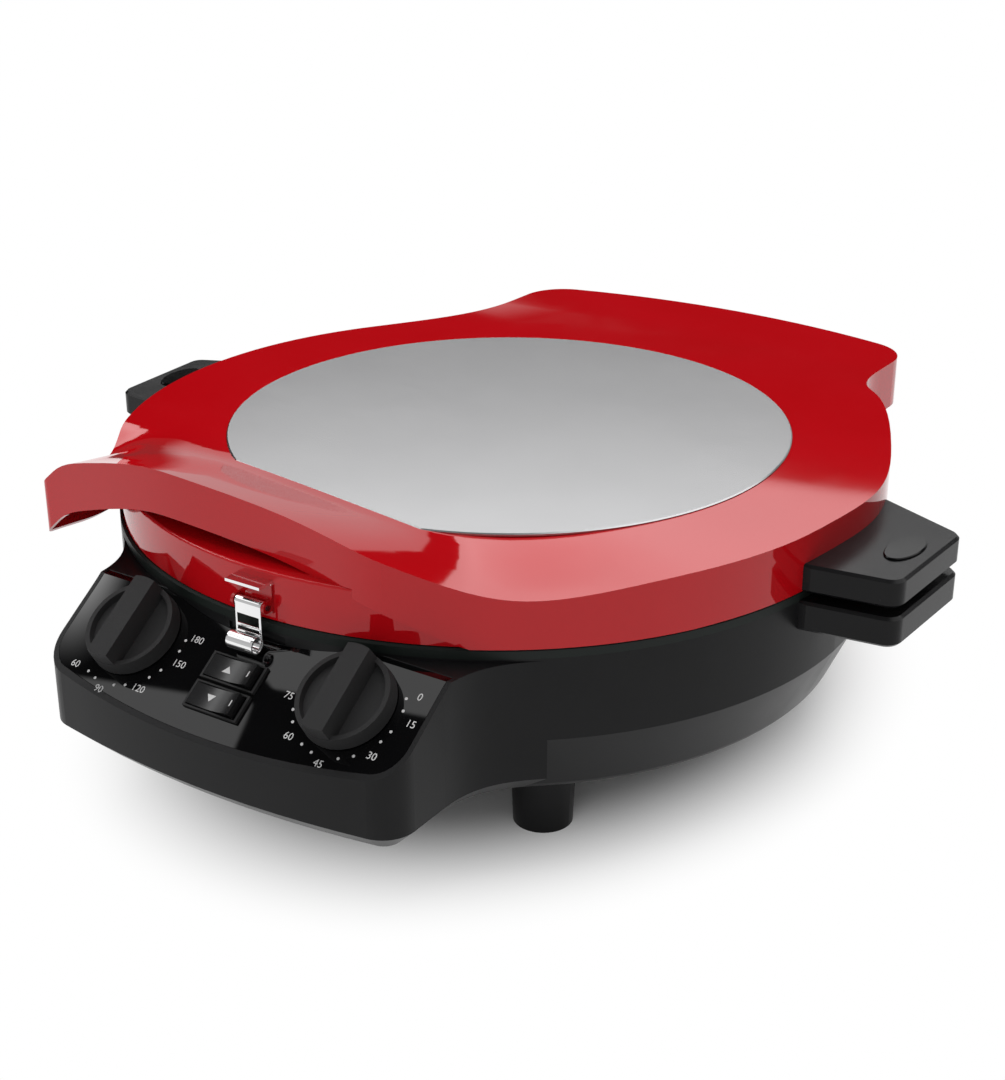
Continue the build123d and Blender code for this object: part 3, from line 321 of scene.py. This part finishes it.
def dot_tree():
    """Sets a round ink dot on every point."""
    tree = bpy.data.node_groups.new("ink_dots", "GeometryNodeTree")
    face = tree.interface
    face.new_socket("Points", in_out="INPUT", socket_type="NodeSocketGeometry")
    radius = face.new_socket("Dot radius", in_out="INPUT", socket_type="NodeSocketFloat")
    thickness = face.new_socket("Ink thickness", in_out="INPUT", socket_type="NodeSocketFloat")
    face.new_socket("Dots", in_out="OUTPUT", socket_type="NodeSocketGeometry")
    start = tree.nodes.new("NodeGroupInput")
    end = tree.nodes.new("NodeGroupOutput")
    dot = tree.nodes.new("GeometryNodeMeshCylinder")
    dot.inputs["Vertices"].default_value = 20
    spots = tree.nodes.new("GeometryNodeMeshToPoints")
    place = tree.nodes.new("GeometryNodeInstanceOnPoints")
    solid = tree.nodes.new("GeometryNodeRealizeInstances")
    paint = tree.nodes.new("GeometryNodeSetMaterial")
    paint.inputs["Material"].default_value = white_ink
    tree.links.new(start.outputs["Points"], spots.inputs["Mesh"])
    tree.links.new(start.outputs["Dot radius"], dot.inputs["Radius"])
    tree.links.new(start.outputs["Ink thickness"], dot.inputs["Depth"])
    tree.links.new(spots.outputs["Points"], place.inputs["Points"])
    tree.links.new(dot.outputs["Mesh"], place.inputs["Instance"])
    tree.links.new(place.outputs["Instances"], solid.inputs["Geometry"])
    tree.links.new(solid.outputs["Geometry"], paint.inputs["Geometry"])
    tree.links.new(paint.outputs["Geometry"], end.inputs["Dots"])
    return tree, radius.identifier, thickness.identifier


dots_tree, dot_radius_id, dot_thickness_id = dot_tree()


def dial_dots(angles, distance, dial):
    """Dots round one dial, at these angles in degrees."""
    spots = [(distance * cos(radians(angle)), distance * sin(radians(angle)), 0) for angle in angles]
    points = bpy.data.meshes.new("dot_places")
    points.from_pydata(spots, [], [])
    holder = bpy.data.objects.new("dots", points)
    bpy.context.scene.collection.objects.link(holder)
    modifier = holder.modifiers.new("dots", "NODES")
    modifier.node_group = dots_tree
    modifier[dot_radius_id] = dot_r
    modifier[dot_thickness_id] = ink_t
    mesh = to_plain_mesh(holder)
    lay_on_panel(mesh, dial, 0)
    return mesh


def between(labels):
    """The angles of the dots between neighbouring numbers, two dots to a gap."""
    angles = []
    for a, b in zip(labels, labels[1:]):
        angles += [a + (b - a) / 3, a + (b - a) * 2 / 3]
    return angles


number_size = 4.3 * MM
dot_r = 0.62 * MM
temperature_ring = 24.1 * MM
timer_ring = 22.8 * MM
temperature_numbers = [("180", 10, 29.1 * MM), ("150", -14, 28.2 * MM), ("120", -53, 27.2 * MM),
                       ("90", -92, 27.2 * MM), ("60", -132, 27.6 * MM)]
timer_numbers = [("0", 23, 28.2 * MM), ("15", 0, 28.2 * MM), ("30", -39, 26.0 * MM),
                 ("45", -87, 25.8 * MM), ("60", -130, 25.6 * MM), ("75", -170, 26.2 * MM)]
# the dots next to each dial's first number stand at their own angles
temperature_dots = [8, -4] + between([-16, -54, -91, -128])
timer_dots = [23, 10] + between([0, -39, -85, -129, -170])
marks = dial_numbers(-dial_x, temperature_numbers) + dial_numbers(dial_x, timer_numbers)
marks += [dial_dots(temperature_dots, temperature_ring, -dial_x), dial_dots(timer_dots, timer_ring, dial_x)]
link_piece("dial_marks", join_meshes(marks), white_ink, "base")


# The latch's spring strip: an eye round the pin, a plate with two openings, and a finger roll

def round_path(middle, radius, start, end, steps):
    """Points on an arc in the plane across X, angles in degrees from +Y towards +Z."""
    turns = [radians(start + (end - start) * i / steps) for i in range(steps + 1)]
    return [(middle[0] + radius * cos(turn), middle[1] + radius * sin(turn)) for turn in turns]


latch_eye = (-182.6 * MM, 106.0 * MM)
latch_roll = (-187.6 * MM, 91.4 * MM)
eye_r = 2.15 * MM
roll_r = 2.95 * MM
strip_w = 13.0 * MM
strip_t = 0.7 * MM
rail_w = 1.1 * MM
strip_round = 0.12 * MM
plate_top = 104.0 * MM
upper_opening = (101.6 * MM, 97.4 * MM)
lower_opening = (96.2 * MM, 94.6 * MM)
nearly = 0.001 * MM


def latch_strip():
    """The bent strip, drawn as rows of four points along its path and then thickened."""
    front = latch_eye[0] - eye_r
    path = round_path(latch_eye, eye_r, -70, 180, 22)
    path += [(front, z) for z in (plate_top, *upper_opening, *lower_opening)]
    path += round_path(latch_roll, roll_r, 12, -300, 30)
    columns = [-strip_w / 2, -strip_w / 2 + rail_w, strip_w / 2 - rail_w, strip_w / 2]
    sheet = bmesh.new()
    rows = [[sheet.verts.new((x, y, z)) for x in columns] for y, z in path]
    for low, high in zip(rows, rows[1:]):
        top = max(low[0].co.z, high[0].co.z)
        on_plate = abs(low[0].co.y - front) < nearly and abs(high[0].co.y - front) < nearly
        at_opening = abs(top - upper_opening[0]) < nearly or abs(top - lower_opening[0]) < nearly
        for i in (0, 1, 2):
            if i != 1 or not (on_plate and at_opening):
                sheet.faces.new((low[i], high[i], high[i + 1], low[i + 1]))
    mesh = bpy.data.meshes.new("latch_strip")
    sheet.to_mesh(mesh)
    sheet.free()
    holder = bpy.data.objects.new("latch_strip", mesh)
    bpy.context.scene.collection.objects.link(holder)
    wall = holder.modifiers.new("wall", "SOLIDIFY")
    wall.thickness = strip_t
    wall.offset = -1
    edges = holder.modifiers.new("edges", "BEVEL")
    edges.width = strip_round
    edges.segments = 2
    mesh = to_plain_mesh(holder)
    for face in mesh.polygons:
        face.use_smooth = True
    return mesh


strip = link_piece("latch_strip", latch_strip(), polished_chrome, "latch")
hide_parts("latch_clip")


# Marks on the two switch keys, laid down on their curved tops

def key_mark(outline):
    """A flat prism with a fine grid, so that it can follow a curved top."""
    flat = bmesh.new()
    flat.faces.new([flat.verts.new((x, y, 0)) for x, y in outline])
    bmesh.ops.triangulate(flat, faces=flat.faces)
    bmesh.ops.subdivide_edges(flat, edges=flat.edges, cuts=5, use_grid_fill=True)
    extruded = bmesh.ops.extrude_face_region(flat, geom=flat.faces[:])["geom"]
    raised = [part for part in extruded if isinstance(part, bmesh.types.BMVert)]
    bmesh.ops.translate(flat, verts=raised, vec=(0, 0, ink_t))
    bmesh.ops.recalc_face_normals(flat, faces=flat.faces)
    mesh = bpy.data.meshes.new("key_mark")
    flat.to_mesh(mesh)
    flat.free()
    return mesh


def lay_on_key(mesh, key, x, up):
    """Drops each point along the panel's normal onto the key's top."""
    tops = BVHTree.FromPolygons([v.co for v in key.vertices], [p.vertices for p in key.polygons])
    for vertex in mesh.vertices:
        lift = vertex.co.z
        start = panel_place(x + vertex.co.x, up + vertex.co.y, above_keys)
        hit = tops.ray_cast(start, -off_panel)[0]
        vertex.co = hit + off_panel * (ink_lift + lift)


above_keys = 30 * MM
arrow_l = 3.0 * MM
arrow_w = 4.4 * MM
arrow_x = -2.5 * MM
bar_l = 2.6 * MM
bar_w = 0.7 * MM
bar_x = 9.0 * MM
bar_outline = [(-bar_w / 2, -bar_l / 2), (bar_w / 2, -bar_l / 2),
               (bar_w / 2, bar_l / 2), (-bar_w / 2, bar_l / 2)]
for switch, way in (("upper", 1), ("lower", -1)):
    key = nodes[switch + "_heat_rocker"].data
    low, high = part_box(switch + "_heat_rocker")
    middle = (Vector(low) + Vector(high)) / 2 - dial_mid
    key_up = middle.dot(up_slope)
    # the lower arrow points down, and its corners are taken the other way round
    arrow_foot = -way * arrow_l / 2
    arrow = key_mark([(-arrow_w / 2, arrow_foot), (arrow_w / 2, arrow_foot), (0, -arrow_foot)][::way])
    bar = key_mark(bar_outline)
    lay_on_key(arrow, key, middle.x + arrow_x, key_up)
    lay_on_key(bar, key, middle.x + bar_x, key_up)
    link_piece(switch + "_key_marks", join_meshes([arrow, bar]), white_ink, switch + "_heat")


# Studio

def light_panel(name, place, aim, size, power):
    """A soft rectangular lamp that isn't mirrored in the object."""
    lamp = bpy.data.lights.new(name, "AREA")
    lamp.shape = "RECTANGLE"
    lamp.size, lamp.size_y = size
    lamp.energy = power
    obj = bpy.data.objects.new(name, lamp)
    obj.location = place
    obj.rotation_euler = (Vector(aim) - Vector(place)).to_track_quat("-Z", "Y").to_euler()
    obj.visible_glossy = False
    bpy.context.scene.collection.objects.link(obj)


light_panel("top_light", (-0.15, 0.35, 1.7), (0, 0, 0.08), (1.8, 1.4), 24)
light_panel("front_light", (0.5, -1.9, 0.9), (0, -0.05, 0.07), (1.6, 1.1), 6)
light_panel("left_light", (-1.5, -1.2, 0.35), (0, 0, 0.1), (1.2, 0.5), 4)


def step(tree, value, start, end, low=0.0, high=1.0):
    """Rises smoothly from low at start to high at end."""
    node = tree.nodes.new("ShaderNodeMapRange")
    node.interpolation_type = "SMOOTHSTEP"
    node.inputs["From Min"].default_value = start
    node.inputs["From Max"].default_value = end
    node.inputs["To Min"].default_value = low
    node.inputs["To Max"].default_value = high
    tree.links.new(value, node.inputs["Value"])
    return node.outputs["Result"]


def combine(tree, operation, a, b, clamp=False):
    """The sum, product or larger of two values."""
    node = tree.nodes.new("ShaderNodeMath")
    node.operation = operation
    node.use_clamp = clamp
    tree.links.new(a, node.inputs[0])
    tree.links.new(b, node.inputs[1])
    return node.outputs[0]


def along(tree, place, direction):
    """How far a place lies along a direction."""
    node = tree.nodes.new("ShaderNodeVectorMath")
    node.operation = "DOT_PRODUCT"
    node.inputs[1].default_value = direction
    tree.links.new(place, node.inputs[0])
    return node.outputs["Value"]


def looked_at(tree):
    """1 for what the camera sees, straight, mirrored or through glass, and 0 for plain light."""
    rays = tree.nodes.new("ShaderNodeLightPath")
    looked = combine(tree, "ADD", rays.outputs["Is Camera Ray"], rays.outputs["Is Glossy Ray"], True)
    return combine(tree, "ADD", looked, rays.outputs["Is Transmission Ray"], True)


room_light = 0.36


def pale_room():
    """A white backdrop that lights the object at a lower level than it shows."""
    world = bpy.data.worlds.new("pale_room")
    bpy.context.scene.world = world
    world.use_nodes = True
    room = world.node_tree
    backdrop = room.nodes["Background"]
    backdrop.inputs["Color"].default_value = (1, 1, 1, 1)
    room.links.new(spread(room, looked_at(room), room_light, 1.0, 0, 1), backdrop.inputs["Strength"])


pale_room()

floor_r = 0.8
shadow_r = 0.11
white_r = 0.19


def floor_piece():
    """A round pale floor that turns into the white room between shadow_r and white_r."""
    mesh = bpy.data.meshes.new("floor")
    sheet = bmesh.new()
    bmesh.ops.create_circle(sheet, cap_ends=True, segments=96, radius=floor_r)
    sheet.to_mesh(mesh)
    sheet.free()
    floor = bpy.data.objects.new("floor", mesh)
    bpy.context.scene.collection.objects.link(floor)
    material, tree, shader = new_material("pale_floor")
    shader.inputs["Base Color"].default_value = (0.93, 0.93, 0.93, 1)
    shader.inputs["Roughness"].default_value = 0.7
    shader.inputs["Specular IOR Level"].default_value = 0.1
    distance = tree.nodes.new("ShaderNodeVectorMath")
    distance.operation = "LENGTH"
    tree.links.new(place_of(tree, (1, 0.8, 1)), distance.inputs[0])
    fade = step(tree, distance.outputs["Value"], shadow_r, white_r)
    glow = tree.nodes.new("ShaderNodeEmission")
    mix = tree.nodes.new("ShaderNodeMixShader")
    tree.links.new(combine(tree, "MULTIPLY", looked_at(tree), fade), mix.inputs["Fac"])
    tree.links.new(shader.outputs["BSDF"], mix.inputs[1])
    tree.links.new(glow.outputs["Emission"], mix.inputs[2])
    tree.links.new(mix.outputs["Shader"], tree.nodes["Material Output"].inputs["Surface"])
    set_material(floor, material)


floor_piece()

# The tent is a large sphere seen only in reflections. A place on it is a direction from the
# object: x to the right, y to the back and z up, each between -1 and 1.
tent_r = 4.0
panel_low_z = 0.3945
strip_top_z = 0.268
card_y = -0.27
front_meets_back = (-0.19, -0.05)


def back_wall(tree, x, z):
    """A bright panel that starts sharply above a dark band, a trace higher at the right."""
    level = combine(tree, "SUBTRACT", z, step(tree, x, -0.42, -0.29, 0.0, 0.006))
    panel = step(tree, level, panel_low_z, panel_low_z + 0.004)
    return combine(tree, "MULTIPLY", panel, step(tree, z, 0.40, 0.47, 1.65, 2.05))


def low_strip(tree, place, z):
    """A soft light low behind the object, which stops at the left."""
    lit = step(tree, along(tree, place, (1, 0.966, 0)), -0.03, 0.03, 0.04, 0.55)
    return combine(tree, "MULTIPLY", step(tree, z, strip_top_z, strip_top_z - 0.018, 0.012, 1.0), lit)


def front_wall(tree, place, x, y, z):
    """A card over the console's right, two at its left, and a wall that grows lighter in front."""
    slant = along(tree, place, (0.933, 1, 0))
    right_card = step(tree, slant, -0.787, -0.783, 0.0, 1.35)
    right_card = combine(tree, "MULTIPLY", step(tree, y, card_y + 0.0095, card_y + 0.0125), right_card)
    left_card = step(tree, x, -0.645, -0.665, 0.0, 6.0)
    left_card = combine(tree, "MULTIPLY", left_card, step(tree, y, card_y, front_meets_back[0]))
    low_card = step(tree, x, -0.569, -0.572, 0.0, 1.3)
    low_card = combine(tree, "MULTIPLY", low_card, step(tree, y, card_y + 0.002, card_y - 0.002))
    cards = combine(tree, "MAXIMUM", right_card, combine(tree, "MAXIMUM", left_card, low_card))
    cards = combine(tree, "MULTIPLY", cards, step(tree, z, 0.5, 0.6))
    return combine(tree, "MAXIMUM", cards, step(tree, y, -0.3, -0.6, 0.03, 0.5))


def studio_tent():
    """Grey cards round the object with a bright panel above and behind, seen only in reflections."""
    mesh = bpy.data.meshes.new("studio_tent")
    dome = bmesh.new()
    bmesh.ops.create_uvsphere(dome, u_segments=96, v_segments=64, radius=tent_r)
    bmesh.ops.reverse_faces(dome, faces=dome.faces)
    dome.to_mesh(mesh)
    dome.free()
    tent = bpy.data.objects.new("studio_tent", mesh)
    bpy.context.scene.collection.objects.link(tent)
    tent.visible_camera = False
    tent.visible_diffuse = False
    tent.visible_shadow = False
    tent.visible_transmission = False
    tent.visible_volume_scatter = False
    material, tree, shader = new_material("studio_cards")
    place = place_of(tree, (1 / tent_r, 1 / tent_r, 1 / tent_r))
    split = tree.nodes.new("ShaderNodeSeparateXYZ")
    tree.links.new(place, split.inputs["Vector"])
    x, y, z = split.outputs["X"], split.outputs["Y"], split.outputs["Z"]
    front_end, back_end = front_meets_back
    back = combine(tree, "MULTIPLY", back_wall(tree, x, z), step(tree, y, front_end, back_end))
    front = combine(tree, "MULTIPLY", front_wall(tree, place, x, y, z), step(tree, y, back_end, front_end))
    total = combine(tree, "ADD", combine(tree, "ADD", back, front), low_strip(tree, place, z))
    glow = tree.nodes.new("ShaderNodeEmission")
    tree.links.new(total, glow.inputs["Strength"])
    tree.links.new(glow.outputs["Emission"], tree.nodes["Material Output"].inputs["Surface"])
    tree.nodes.remove(shader)
    set_material(tent, material)


studio_tent()

# Camera at the photograph's viewing angle
camera_data = bpy.data.cameras.new("camera")
camera_data.lens = 61.8
camera_data.sensor_width = 36.0
camera_data.sensor_fit = "AUTO"
camera_data.clip_start = 0.05
camera = bpy.data.objects.new("camera", camera_data)
camera.location = (0.4335, -0.665, 0.4142)
view_azimuth = radians(33.38)
view_elevation = radians(23.72)
level_part = cos(view_elevation)
backwards = Vector((sin(view_azimuth) * level_part, -cos(view_azimuth) * level_part, sin(view_elevation)))
camera.rotation_euler = (-backwards).to_track_quat("-Z", "Y").to_euler()
bpy.context.scene.collection.objects.link(camera)
bpy.context.scene.camera = camera
bpy.context.scene.view_settings.view_transform = "Standard"
